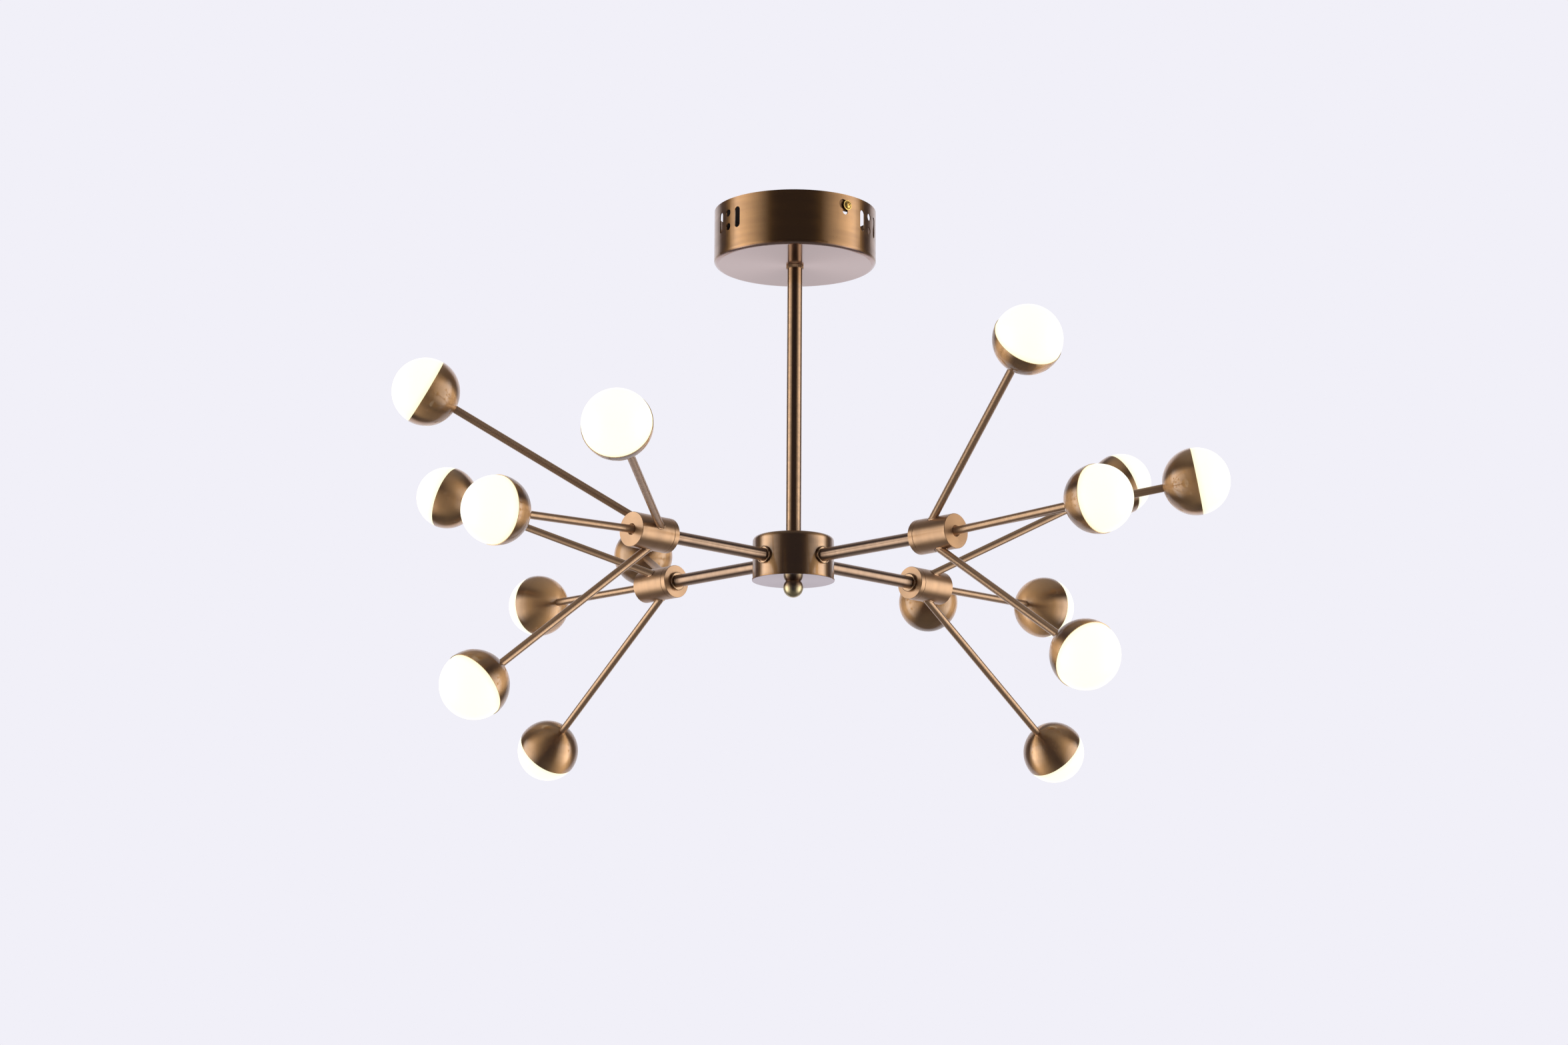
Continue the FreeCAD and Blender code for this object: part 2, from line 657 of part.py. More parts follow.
def finial():
    """Ball finial, cut flat where it meets the lid and drilled for the threaded tube."""
    flat = ARM_LEVEL + HUB_RIM - LID_THICKNESS
    bottom = flat - FINIAL_HEIGHT
    centre = bottom + FINIAL_RADIUS
    flat_radius = math.sqrt(FINIAL_RADIUS ** 2 - (flat - centre) ** 2)
    bore = THREAD_DIAMETER / 2
    return revolved([
        (0, bottom),
        ((FINIAL_RADIUS, centre), (flat_radius, flat)),
        (bore, flat),
        (bore, flat - FINIAL_DRILLING),
        (0, flat - FINIAL_DRILLING),
    ])


# Arms and what is fixed on them

def arm_tube(azimuth):
    """Level arm from inside the hub to inside its cluster."""
    return placed(tube(ARM_DIAMETER, ARM_BORE, ARM_START, ARM_END), arm_frame(azimuth, 0))


def on_every_arm(shape):
    """One copy of a piece, drawn along Z from the lamp's axis, on each arm."""
    azimuths = [cluster["azimuth"] for cluster in CLUSTERS.values()]
    return Part.makeCompound([placed(shape, arm_frame(azimuth, 0)) for azimuth in azimuths])


def hub_collars():
    """Rounded collar where each arm leaves the hub, shaped to the hub's wall and recessed in front."""
    outer = HUB_COLLAR_DIAMETER / 2
    bore = ARM_DIAMETER / 2
    end = HUB_COLLAR_END
    edge = HUB_COLLAR_EDGE
    recess = HUB_COLLAR_RECESS_DIAMETER / 2
    recess_floor = end - HUB_COLLAR_RECESS_DEPTH
    collar = revolved([
        (bore, HUB_COLLAR_START),
        (outer, HUB_COLLAR_START),
        (outer, end - edge),
        ((outer - CORNER_SHARE * edge, end - CORNER_SHARE * edge), (outer - edge, end)),
        (recess, end),
        (recess - HUB_COLLAR_RECESS_TAPER, recess_floor),
        (bore, recess_floor),
    ])
    wall_start = FreeCAD.Vector(-3 * HUB_RADIUS, 0, 0)
    wall = Part.makeCylinder(HUB_RADIUS, 6 * HUB_RADIUS, wall_start, X_AXIS)
    return on_every_arm(single(collar.cut(wall)))


def arm_nuts():
    """Nut on each arm's inner end, against the hub's wall from inside."""
    return on_every_arm(hex_nut(ARM_NUT_FLATS, ARM_DIAMETER, ARM_NUT_START, ARM_NUT_LENGTH))


def swivel_collars():
    """Collar on each arm that the cluster's cap turns against."""
    outer = SWIVEL_COLLAR_DIAMETER / 2
    bore = ARM_DIAMETER / 2
    start = SWIVEL_COLLAR_START
    edge = SWIVEL_COLLAR_EDGE
    collar = revolved([
        (bore, start),
        (outer - edge, start),
        ((outer - CORNER_SHARE * edge, start + CORNER_SHARE * edge), (outer, start + edge)),
        (outer, start + SWIVEL_COLLAR_LENGTH),
        (bore, start + SWIVEL_COLLAR_LENGTH),
    ])
    return on_every_arm(collar)


def swivel_nuts():
    """Nut on each arm's outer end, which keeps the cluster on and sets how stiffly it turns."""
    nut = hex_nut(SWIVEL_NUT_FLATS, ARM_DIAMETER, SWIVEL_NUT_START, SWIVEL_NUT_LENGTH)
    return on_every_arm(nut)


# Clusters

def cluster_cap(cluster):
    """Cap that turns on the arm and closes the cluster body with a spigot."""
    bore = ARM_DIAMETER / 2 + SWIVEL_CLEARANCE
    spigot_end = BODY_START + CAP_SPIGOT
    cap = revolved([
        (bore, CAP_START),
        (CLUSTER_RADIUS - SEAM_CHAMFER, CAP_START),
        (CLUSTER_RADIUS, CAP_START + SEAM_CHAMFER),
        (CLUSTER_RADIUS, BODY_START - SEAM_CHAMFER),
        (CLUSTER_RADIUS - SEAM_CHAMFER, BODY_START),
        (CLUSTER_BORE_RADIUS, BODY_START),
        (CLUSTER_BORE_RADIUS, spigot_end),
        (bore, spigot_end),
    ])
    return placed(cap, arm_frame(cluster["azimuth"], 0))


def cluster_body(cluster):
    """Turned body: a thick tube with an end wall, drilled at each rod's own angle."""
    sink_radius = END_SINK_DIAMETER / 2
    body = revolved([
        (CLUSTER_BORE_RADIUS, BODY_START),
        (CLUSTER_RADIUS - SEAM_CHAMFER, BODY_START),
        (CLUSTER_RADIUS, BODY_START + SEAM_CHAMFER),
        (CLUSTER_RADIUS, BODY_END - SEAM_CHAMFER),
        (CLUSTER_RADIUS - SEAM_CHAMFER, BODY_END),
        (sink_radius, BODY_END),
        (sink_radius - END_SINK_DEPTH, BODY_END - END_SINK_DEPTH),
        (0, BODY_END - END_SINK_DEPTH),
        (0, BODY_END - BODY_END_WALL),
        (CLUSTER_BORE_RADIUS, BODY_END - BODY_END_WALL),
    ])
    body = placed(body, arm_frame(cluster["azimuth"], 0))
    drills = []
    for frame, start, _ in rod_frames(cluster):
        drill = Part.makeCylinder(ROD_DIAMETER / 2, ROD_DRILL_LENGTH, FreeCAD.Vector(0, 0, start))
        drills.append(placed(drill, frame))
    return single(body.cut(drills))


def rods(cluster):
    """The cluster's four rods, each from inside the body to inside its ball's cup."""
    pieces = []
    for frame, start, ball_distance in rod_frames(cluster):
        end = ball_distance - CUP_RADIUS + SHEET + ROD_IN_CUP
        pieces.append(placed(tube(ROD_DIAMETER, ROD_BORE, start, end), frame))
    return Part.makeCompound(pieces)


def ball_frames(cluster):
    """Frame at each ball's centre, with Z outward along its rod."""
    return [frame.multiply(shifted(0, 0, distance)) for frame, _, distance in rod_frames(cluster)]


# Balls

def ball_cup():
    """Metal half of a ball: a spun hemisphere with the rod's hole at its back."""
    inner = CUP_RADIUS - SHEET
    hole = ROD_DIAMETER / 2
    outer_middle = CUP_RADIUS * QUARTER_MIDDLE
    inner_middle = inner * QUARTER_MIDDLE
    return revolved([
        (inner, 0),
        (CUP_RADIUS, 0),
        ((outer_middle, -outer_middle), (hole, -math.sqrt(CUP_RADIUS ** 2 - hole ** 2))),
        (hole, -math.sqrt(inner ** 2 - hole ** 2)),
        ((inner_middle, -inner_middle), (inner, 0)),
    ])


def opal_dome():
    """Opal half of a ball: a shell that sits on the cup's rim, with a skirt inside it."""
    inner = DOME_RADIUS - DOME_WALL
    skirt_inner = DOME_SKIRT_RADIUS - DOME_WALL
    inner_level = math.sqrt(inner ** 2 - skirt_inner ** 2)
    outer_middle = DOME_RADIUS * QUARTER_MIDDLE
    inner_middle = inner * QUARTER_MIDDLE
    return revolved([
        (DOME_RADIUS, 0),
        ((outer_middle, outer_middle), (0, DOME_RADIUS)),
        (0, inner),
        ((inner_middle, inner_middle), (skirt_inner, inner_level)),
        (skirt_inner, -DOME_SKIRT),
        (DOME_SKIRT_RADIUS, -DOME_SKIRT),
        (DOME_SKIRT_RADIUS, 0),
    ])


def led_board():
    """Round board across the cup with a ring of LEDs, facing the dome."""
    cup_inner = CUP_RADIUS - SHEET
    face = -DOME_SKIRT
    back = face - BOARD_THICKNESS
    radius = math.sqrt(cup_inner ** 2 - back ** 2)
    board = tube(2 * radius, BOARD_HOLE, back, face)
    leds = []
    for index in range(LED_COUNT):
        corner = FreeCAD.Vector(LED_CIRCLE_RADIUS - LED_SIZE / 2, -LED_SIZE / 2, face)
        led = Part.makeBox(LED_SIZE, LED_SIZE, LED_HEIGHT, corner)
        leds.append(placed(led, turned_about(Z_AXIS, index * 360 / LED_COUNT)))
    return single(board.multiFuse(leds))


# The whole lamp

def root_pieces():
    """Everything that hangs still: strap, canopy, stem, hub and arms."""
    pieces = {
        "ceiling_bracket": ceiling_bracket(),
        "canopy_cup": canopy_cup(),
        "canopy_screws": canopy_screws(),
        "led_driver": led_driver(),
        "terminal_block": terminal_block(),
        "canopy_nipple": canopy_nipple(),
        "canopy_nut": canopy_nut(),
        "knurled_ring": knurled_ring(),
        "stem_tube": stem_tube(),
        "stem_plugs": stem_plugs(),
        "hub_cup": hub_cup(),
        "hub_lid": hub_lid(),
        "hub_rod": hub_rod(),
        "hub_nut": hub_nut(),
        "finial": finial(),
        "hub_collars": hub_collars(),
        "arm_nuts": arm_nuts(),
        "swivel_collars": swivel_collars(),
        "swivel_nuts": swivel_nuts(),
    }
    for name, cluster in CLUSTERS.items():
        pieces["arm_tube_" + name] = arm_tube(cluster["azimuth"])
    return pieces


def cluster_pieces(name, cluster):
    """Everything that swivels with one cluster."""
    frames = ball_frames(cluster)
    dome = opal_dome()
    board = led_board()
    cup = ball_cup()
    pieces = {
        "cluster_cap_" + name: cluster_cap(cluster),
        "cluster_body_" + name: cluster_body(cluster),
        "rods_" + name: rods(cluster),
        "domes_" + name: Part.makeCompound([placed(dome, frame) for frame in frames]),
        "led_boards_" + name: Part.makeCompound([placed(board, frame) for frame in frames]),
    }
    for number, frame in enumerate(frames, start=1):
        pieces["ball_cup_" + name + "_" + str(number)] = placed(cup, frame)
    return pieces


def main():
    """Write one STEP file for each node."""
    os.makedirs("parts", exist_ok=True)
    pieces = root_pieces()
    for name, cluster in CLUSTERS.items():
        pieces.update(cluster_pieces(name, cluster))
    for name, shape in pieces.items():
        shape.exportStep("parts/" + name + ".step")


main()
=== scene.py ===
import json
import math

import bmesh
import bpy
from mathutils import Matrix, Vector

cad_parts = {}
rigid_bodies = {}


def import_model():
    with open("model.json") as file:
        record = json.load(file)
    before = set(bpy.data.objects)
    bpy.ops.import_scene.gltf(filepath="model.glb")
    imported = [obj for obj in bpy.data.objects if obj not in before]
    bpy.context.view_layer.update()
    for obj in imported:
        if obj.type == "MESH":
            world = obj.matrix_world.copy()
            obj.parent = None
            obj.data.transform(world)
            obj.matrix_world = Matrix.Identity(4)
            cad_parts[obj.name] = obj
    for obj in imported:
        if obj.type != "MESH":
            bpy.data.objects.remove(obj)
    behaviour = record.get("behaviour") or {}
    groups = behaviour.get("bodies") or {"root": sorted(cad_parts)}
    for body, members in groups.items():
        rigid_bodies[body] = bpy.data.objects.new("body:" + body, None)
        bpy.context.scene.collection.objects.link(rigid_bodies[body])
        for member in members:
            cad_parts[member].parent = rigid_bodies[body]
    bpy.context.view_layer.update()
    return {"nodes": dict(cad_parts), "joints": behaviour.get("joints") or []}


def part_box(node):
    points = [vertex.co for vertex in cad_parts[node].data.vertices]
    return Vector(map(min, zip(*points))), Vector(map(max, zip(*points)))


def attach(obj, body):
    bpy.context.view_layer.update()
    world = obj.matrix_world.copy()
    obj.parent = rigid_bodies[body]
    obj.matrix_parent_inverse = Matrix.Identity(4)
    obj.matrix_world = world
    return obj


for leftover in list(bpy.data.objects):
    bpy.data.objects.remove(leftover)
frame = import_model()

NODES = frame["nodes"]
JOINTS = {joint["child"]: joint for joint in frame["joints"]}
CLUSTERS = ["front_left", "front_right", "back_right", "back_left"]

# A cluster's rods: three from its side wall, and one on along the arm's line
SIDE_RODS = (1, 2, 3)
END_ROD = 4

# Linear colours of the brass finishes. The strap's and the collars' colours hold painted shade,
# and the two underside colours a painted reflection.
CANOPY_BRASS = (0.385, 0.192, 0.062)
CUP_BRASS = (0.57, 0.318, 0.138)
HUB_BRASS = (0.40, 0.225, 0.100)
BODY_BRASS = (0.49, 0.288, 0.148)
ROD_BRASS = (0.43, 0.265, 0.145)
ARM_BRASS = (0.43, 0.278, 0.178)
# Collars: darker than the hub's brass, which is painted shade of the recess where each arm enters
# its collar
COLLAR_BRASS_AND_PAINTED_SHADE = (0.30, 0.175, 0.085)
OLIVE_BRASS = (0.58, 0.47, 0.26)
# Undersides of the canopy and of the lid: polished brass tinted lilac, which is a painted
# reflection of the pale surround
UNDERSIDE_BRASS_AND_PAINTED_REFLECTION = (0.43, 0.280, 0.228)
LID_UNDERSIDE_AND_PAINTED_REFLECTION = (0.26, 0.165, 0.175)
YELLOW_BRASS = (0.85, 0.55, 0.13)
# Strap: its brass plating is darkened, which is painted shade of the inside of the canopy
STRAP_BRASS_AND_PAINTED_SHADE = (0.20, 0.105, 0.045)

# Linear colours of the shades and the fittings
OPAL_SHADE = (0.60, 0.60, 0.58)
OPAL_WHITE = (0.65, 0.65, 0.63)
OPAL_GLOW = (1.0, 0.96, 0.66)
OPAL_RIM_GLOW = (1.0, 0.93, 0.48)
ZINC = (0.66, 0.66, 0.63)
CASE_BLACK = (0.022, 0.022, 0.024)
TERMINAL_WHITE = (0.80, 0.79, 0.75)
BOARD_SHADE = (0.80, 0.80, 0.77)
BOARD_WHITE = (0.88, 0.88, 0.86)

# Linear colours of the studio
PALE_STUDIO = (0.88, 0.87, 0.94)
DARK_STUDIO = (0.030, 0.032, 0.060)
FLOOR_PAINT = (0.82, 0.81, 0.86)

ORIGIN = (0.0, 0.0, 0.0)
UPRIGHT = (0.0, 0.0, 1.0)


# Where the clusters and their rods are, from the joints and the CAD pieces

# From a cluster's turning face back to where the lines of its rods meet, in metres
FACE_TO_MEETING = 0.0015


def arm_axis(cluster):
    """The arm's outward direction."""
    return Vector(JOINTS["cluster_" + cluster]["axis"])


def swivel_point(cluster):
    """The point on the arm's axis where the cluster swivels."""
    return Vector(JOINTS["cluster_" + cluster]["pos_m"])


def meeting_point(cluster):
    """The point on the arm's axis that the cluster's rods point away from."""
    return swivel_point(cluster) - FACE_TO_MEETING * arm_axis(cluster)


def surface_centre(node):
    """Area-weighted middle of a node's surface, which lies on the axis of a round piece."""
    total = Vector(ORIGIN)
    area = 0.0
    for face in NODES[node].data.polygons:
        total += face.center * face.area
        area += face.area
    return total / area


def rod_line(cluster, number):
    """A rod's inner point on the arm's axis, and its outward direction, found from its cup."""
    centre = surface_centre("ball_cup_" + cluster + "_" + str(number))
    meeting = meeting_point(cluster)
    return meeting, (centre - meeting).normalized()


# Shader building blocks

class Tree:
    """Short names for adding and linking shader nodes."""

    def __init__(self, tree):
        self.tree = tree

    def node(self, kind, **settings):
        made = self.tree.nodes.new(kind)
        for name, value in settings.items():
            setattr(made, name, value)
        return made

    def link(self, source, target):
        self.tree.links.new(source, target)

    def feed(self, value, socket):
        """Links a socket, or writes a plain value."""
        if isinstance(value, bpy.types.NodeSocket):
            self.link(value, socket)
        else:
            socket.default_value = value

    def maths(self, operation, first, second=0.0):
        made = self.node("ShaderNodeMath", operation=operation)
        self.feed(first, made.inputs[0])
        self.feed(second, made.inputs[1])
        return made.outputs[0]

    def product(self, first, *others):
        """All the values multiplied together."""
        for other in others:
            first = self.maths("MULTIPLY", first, other)
        return first

    def vector(self, operation, first, second=ORIGIN):
        made = self.node("ShaderNodeVectorMath", operation=operation)
        self.feed(first, made.inputs[0])
        self.feed(second, made.inputs[1])
        return made.outputs["Value" if operation in ("DOT_PRODUCT", "LENGTH") else "Vector"]

    def spread(self, value, low, high, out_low=0.0, out_high=1.0, kind="SMOOTHSTEP"):
        """Maps low..high to out_low..out_high, with a soft start and end unless kind is LINEAR."""
        made = self.node("ShaderNodeMapRange", interpolation_type=kind)
        self.feed(value, made.inputs["Value"])
        made.inputs["From Min"].default_value = low
        made.inputs["From Max"].default_value = high
        made.inputs["To Min"].default_value = out_low
        made.inputs["To Max"].default_value = out_high
        return made.outputs[0]

    def noise(self, position, scale, detail=2.0, roughness=0.5):
        """Soft cloudy pattern with about scale clouds per metre."""
        made = self.node("ShaderNodeTexNoise")
        made.inputs["Detail"].default_value = detail
        made.inputs["Roughness"].default_value = roughness
        self.link(position, made.inputs["Vector"])
        self.feed(scale, made.inputs["Scale"])
        return made.outputs["Fac"]

    def cells(self, position, scale):
        """Random cells, about scale of them per metre."""
        made = self.node("ShaderNodeTexVoronoi", feature="F1")
        self.link(position, made.inputs["Vector"])
        self.feed(scale, made.inputs["Scale"])
        return made

    def blend_colours(self, mask, first, second):
        made = self.node("ShaderNodeMix", data_type="RGBA")
        self.feed(mask, made.inputs["Factor"])
        self.feed(first, made.inputs["A"])
        self.feed(second, made.inputs["B"])
        return made.outputs["Result"]


def rgba(colour):
    return (colour[0], colour[1], colour[2], 1.0)


def darker(colour, share):
    return rgba([share * channel for channel in colour])


def new_group(name, inputs, outputs):
    """Empty node group. Inputs are (name, socket type, default), outputs (name, socket type)."""
    group = bpy.data.node_groups.new(name, "ShaderNodeTree")
    for label, kind, default in inputs:
        socket = group.interface.new_socket(label, in_out="INPUT", socket_type=kind)
        if default is not None:
            socket.default_value = default
    for label, kind in outputs:
        group.interface.new_socket(label, in_out="OUTPUT", socket_type=kind)
    tree = Tree(group)
    return group, tree, tree.node("NodeGroupInput"), tree.node("NodeGroupOutput")


# How often a line wavers per metre of its length, how many broad bands there are to one line,
# and the values of the pattern at which a line is faintest and deepest
LINE_WAVER = 14.0
BAND_SHARE = 0.11
LINE_CONTRAST = (0.30, 0.70)


def turned_lines_group():
    """Fine lines that a lathe or a brush leaves, and the broader bands among them. Along is the
    distance across the lines, in metres."""
    group, tree, given, result = new_group(
        "turned_lines",
        [("Position", "NodeSocketVector", None), ("Along", "NodeSocketFloat", 0.0),
         ("Lines per metre", "NodeSocketFloat", 1300.0)],
        [("Height", "NodeSocketFloat"), ("Sheen bands", "NodeSocketFloat")])
    step = tree.product(given.outputs["Along"], given.outputs["Lines per metre"])
    step = tree.maths("DIVIDE", step, LINE_WAVER)
    for share, output in ((1.0, "Height"), (BAND_SHARE, "Sheen bands")):
        lines = tree.node("ShaderNodeTexNoise", noise_dimensions="4D")
        lines.inputs["Scale"].default_value = LINE_WAVER
        tree.link(given.outputs["Position"], lines.inputs["Vector"])
        tree.link(tree.product(step, share), lines.inputs["W"])
        tree.link(tree.spread(lines.outputs["Fac"], *LINE_CONTRAST), result.inputs[output])
    return group


# A smear starts to show at the first value of its pattern and is full at the second. A speck
# fades out between two distances from the middle of its cell, and only some patches have any.
SMEAR_CONTRAST = (0.35, 0.70)
SPECK_EDGE = (0.10, 0.22)
SPECK_PATCHES_PER_METRE = 60.0
SPECK_PATCH_CONTRAST = (0.60, 0.72)


def handling_marks_group():
    """Faint cloudy smears, and small pits and specks, over a lacquered surface."""
    group, tree, given, result = new_group(
        "handling_marks",
        [("Position", "NodeSocketVector", None), ("Smears per metre", "NodeSocketFloat", 45.0),
         ("Specks per metre", "NodeSocketFloat", 420.0)],
        [("Smears", "NodeSocketFloat"), ("Specks", "NodeSocketFloat")])
    position = given.outputs["Position"]
    smear = tree.noise(position, given.outputs["Smears per metre"], detail=4.0, roughness=0.6)
    speck = tree.cells(position, given.outputs["Specks per metre"])
    near = tree.spread(speck.outputs["Distance"], *SPECK_EDGE, 1.0, 0.0)
    patch = tree.spread(tree.noise(position, SPECK_PATCHES_PER_METRE), *SPECK_PATCH_CONTRAST)
    tree.link(tree.spread(smear, *SMEAR_CONTRAST), result.inputs["Smears"])
    tree.link(tree.product(near, patch), result.inputs["Specks"])
    return group


TURNED_LINES = turned_lines_group()
HANDLING_MARKS = handling_marks_group()


def place_group(tree, group, **values):
    """One use of a node group. Values are written or linked by the input's name."""
    made = tree.node("ShaderNodeGroup", node_tree=group)
    for name, value in values.items():
        tree.feed(value, made.inputs[name.replace("_", " ")])
    return made


def new_material(name):
    """Material with an empty Principled BSDF, and its object position."""
    material = bpy.data.materials.new(name)
    material.use_nodes = True
    material.node_tree.nodes.clear()
    tree = Tree(material.node_tree)
    surface = tree.node("ShaderNodeBsdfPrincipled")
    output = tree.node("ShaderNodeOutputMaterial")
    tree.link(surface.outputs["BSDF"], output.inputs["Surface"])
    position = tree.node("ShaderNodeTexCoord").outputs["Object"]
    return material, tree, surface, position


def raised(tree, surface, height, depth):
    """Feeds a height to the surface's normal. Depth is in metres."""
    bump = tree.node("ShaderNodeBump")
    bump.inputs["Distance"].default_value = depth
    tree.link(height, bump.inputs["Height"])
    tree.link(bump.outputs["Normal"], surface.inputs["Normal"])


# Brass

# How dark each mark is, as a share of the finish's own colour, and how much of it shows
BAND_TONE = 0.94
SMEAR_TONE = 0.72
SMEAR_AMOUNT = 0.14
SMEAR_ROUGHENING = 0.04
SPECK_TONE = 0.25
SPECK_AMOUNT = 0.45


def along_axis(tree, position, axis, centre):
    """Distance across the brushing lines: along a turned piece's axis, or out from the point
    where the rods meet when there is no axis."""
    if axis is None:
        return tree.vector("LENGTH", tree.vector("SUBTRACT", position, centre))
    return tree.vector("DOT_PRODUCT", position, axis)


def across_lines(tree, axis, centre):
    """Direction across the brushing lines, at every point of a turned piece or of a rod."""
    coordinates = tree.node("ShaderNodeTexCoord")
    across = tree.vector("SUBTRACT", coordinates.outputs["Object"], centre)
    if axis is not None:
        along_line = tree.vector("CROSS_PRODUCT", axis, across)
        across = tree.vector("CROSS_PRODUCT", along_line, coordinates.outputs["Normal"])
    turned = tree.node("ShaderNodeVectorTransform", vector_type="VECTOR",
                       convert_from="OBJECT", convert_to="WORLD")
    tree.link(across, turned.inputs[0])
    return turned.outputs[0]


def polish_underside(tree, position, toned, rough, node, whole, fade, colour, roughness):
    """Takes a brushed finish over into a polished one at the bottom of a piece. The polished
    colour is tinted lilac, which is a painted reflection of the pale surround. The polish is whole
    up to one height above the node's lowest point, and then fades out over another."""
    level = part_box(node)[0][2] + whole
    height = tree.vector("DOT_PRODUCT", position, UPRIGHT)
    under = tree.spread(height, level, level + fade, 1.0, 0.0)
    toned = tree.blend_colours(under, toned, rgba(colour))
    change = tree.maths("SUBTRACT", roughness, rough)
    return toned, tree.maths("ADD", rough, tree.product(under, change))


def lacquered_brass(name, colour, axis=UPRIGHT, centre=ORIGIN, roughness=(0.36, 0.44),
                    stretch=0.85, lines=1300.0, line_depth=0.0000008, coat=1.0,
                    coat_roughness=0.06, wear=1.0, metal=1.0, underside=None):
    """Antique-toned brass, brushed round an axis under clear lacquer. Stretch is how far the
    brushing spreads a highlight across its lines. Metal is below 1 where the toned lacquer hides
    some of it. Wear scales the handling marks. Underside is what the underside polish needs, where
    the piece has a polished one, and the colour given there holds a painted reflection of the pale
    surround."""
    material, tree, surface, position = new_material(name)
    along = along_axis(tree, position, axis, centre)
    brushing = place_group(tree, TURNED_LINES, Position=position, Along=along,
                           Lines_per_metre=lines)
    marks = place_group(tree, HANDLING_MARKS, Position=position)
    bands = brushing.outputs["Sheen bands"]
    smears = marks.outputs["Smears"]
    specks = marks.outputs["Specks"]
    toned = tree.blend_colours(bands, rgba(colour), darker(colour, BAND_TONE))
    for mask, amount, tone in ((smears, SMEAR_AMOUNT, SMEAR_TONE),
                               (specks, SPECK_AMOUNT, SPECK_TONE)):
        toned = tree.blend_colours(tree.product(mask, amount * wear), toned, darker(colour, tone))
    rough = tree.spread(bands, 0.0, 1.0, *roughness)
    rough = tree.maths("ADD", rough, tree.product(smears, SMEAR_ROUGHENING * wear))
    if underside is not None:
        toned, rough = polish_underside(tree, position, toned, rough, **underside)
    tree.link(toned, surface.inputs["Base Color"])
    tree.link(rough, surface.inputs["Roughness"])
    surface.inputs["Metallic"].default_value = metal
    surface.inputs["Anisotropic"].default_value = stretch
    surface.inputs["Coat Weight"].default_value = coat
    surface.inputs["Coat Roughness"].default_value = coat_roughness
    raised(tree, surface, brushing.outputs["Height"], line_depth)
    if stretch > 0.0:
        tree.link(across_lines(tree, axis, centre), surface.inputs["Tangent"])
    return material


# Shades and fittings

# How far the rims of the side shades and of the end shade are from where their rods meet, the
# reach past which a point is on a side shade, and how wide the yellower rim is, in metres
SIDE_RIM = 0.3324
END_RIM = 0.2690
SIDE_SHADE_FROM = 0.315
RIM_WIDTH = 0.008
OPAL_CLOUDS_PER_METRE = 30.0


def opal_glass(cluster):
    """Opal shades of one cluster, lit from inside. Their glow is a little yellower close to the
    rim."""
    material, tree, surface, position = new_material("opal_glass_" + cluster)
    reach = tree.vector("LENGTH", tree.vector("SUBTRACT", position, meeting_point(cluster)))
    side_shade = tree.maths("GREATER_THAN", reach, SIDE_SHADE_FROM)
    rim = tree.maths("ADD", tree.product(side_shade, SIDE_RIM - END_RIM), END_RIM)
    near_rim = tree.spread(tree.maths("SUBTRACT", reach, rim), 0.0, RIM_WIDTH, 1.0, 0.0)
    clouds = tree.noise(position, OPAL_CLOUDS_PER_METRE)
    body = tree.blend_colours(clouds, rgba(OPAL_SHADE), rgba(OPAL_WHITE))
    tree.link(body, surface.inputs["Base Color"])
    glow = tree.blend_colours(near_rim, rgba(OPAL_GLOW), rgba(OPAL_RIM_GLOW))
    tree.link(glow, surface.inputs["Emission Color"])
    surface.inputs["Emission Strength"].default_value = 0.80
    surface.inputs["Roughness"].default_value = 0.35
    surface.inputs["Specular IOR Level"].default_value = 0.2
    return material


def zinc_plate(name, colour, crystals_per_metre, roughness):
    """Zinc-plated steel with its crystal pattern. Roughness goes from one value to the other."""
    material, tree, surface, position = new_material(name)
    grey = tree.node("ShaderNodeRGBToBW")
    tree.link(tree.cells(position, crystals_per_metre).outputs["Color"], grey.inputs[0])
    crystals = grey.outputs[0]
    toned = tree.blend_colours(crystals, darker(colour, 0.8), rgba(colour))
    tree.link(toned, surface.inputs["Base Color"])
    tree.link(tree.spread(crystals, 0.0, 1.0, *roughness), surface.inputs["Roughness"])
    surface.inputs["Metallic"].default_value = 1.0
    raised(tree, surface, crystals, depth=0.00002)
    return material


def grained(name, shade, colour, grains_per_metre, detail, roughness, depth):
    """Non-metal surface with a fine grain that changes its colour, gloss and height."""
    material, tree, surface, position = new_material(name)
    grain = tree.noise(position, grains_per_metre, detail)
    tree.link(tree.blend_colours(grain, shade, rgba(colour)), surface.inputs["Base Color"])
    tree.link(tree.spread(grain, 0.3, 0.7, *roughness), surface.inputs["Roughness"])
    raised(tree, surface, grain, depth)
    return material


def moulded_plastic(name, colour, grains_per_metre, roughness):
    """Plastic moulded in a spark-eroded tool."""
    return grained(name, darker(colour, 0.85), colour, grains_per_metre, detail=3.0,
                   roughness=roughness, depth=0.00004)


def solder_mask():
    """White solder mask of an LED board."""
    return grained("led_board_white", rgba(BOARD_SHADE), BOARD_WHITE, grains_per_metre=220.0,
                   detail=2.0, roughness=(0.30, 0.45), depth=0.00002)


# Finishes on the CAD pieces

def dress(material, *nodes):
    """Gives every slot of the CAD nodes one material."""
    for node in nodes:
        for slot in NODES[node].material_slots:
            slot.material = material


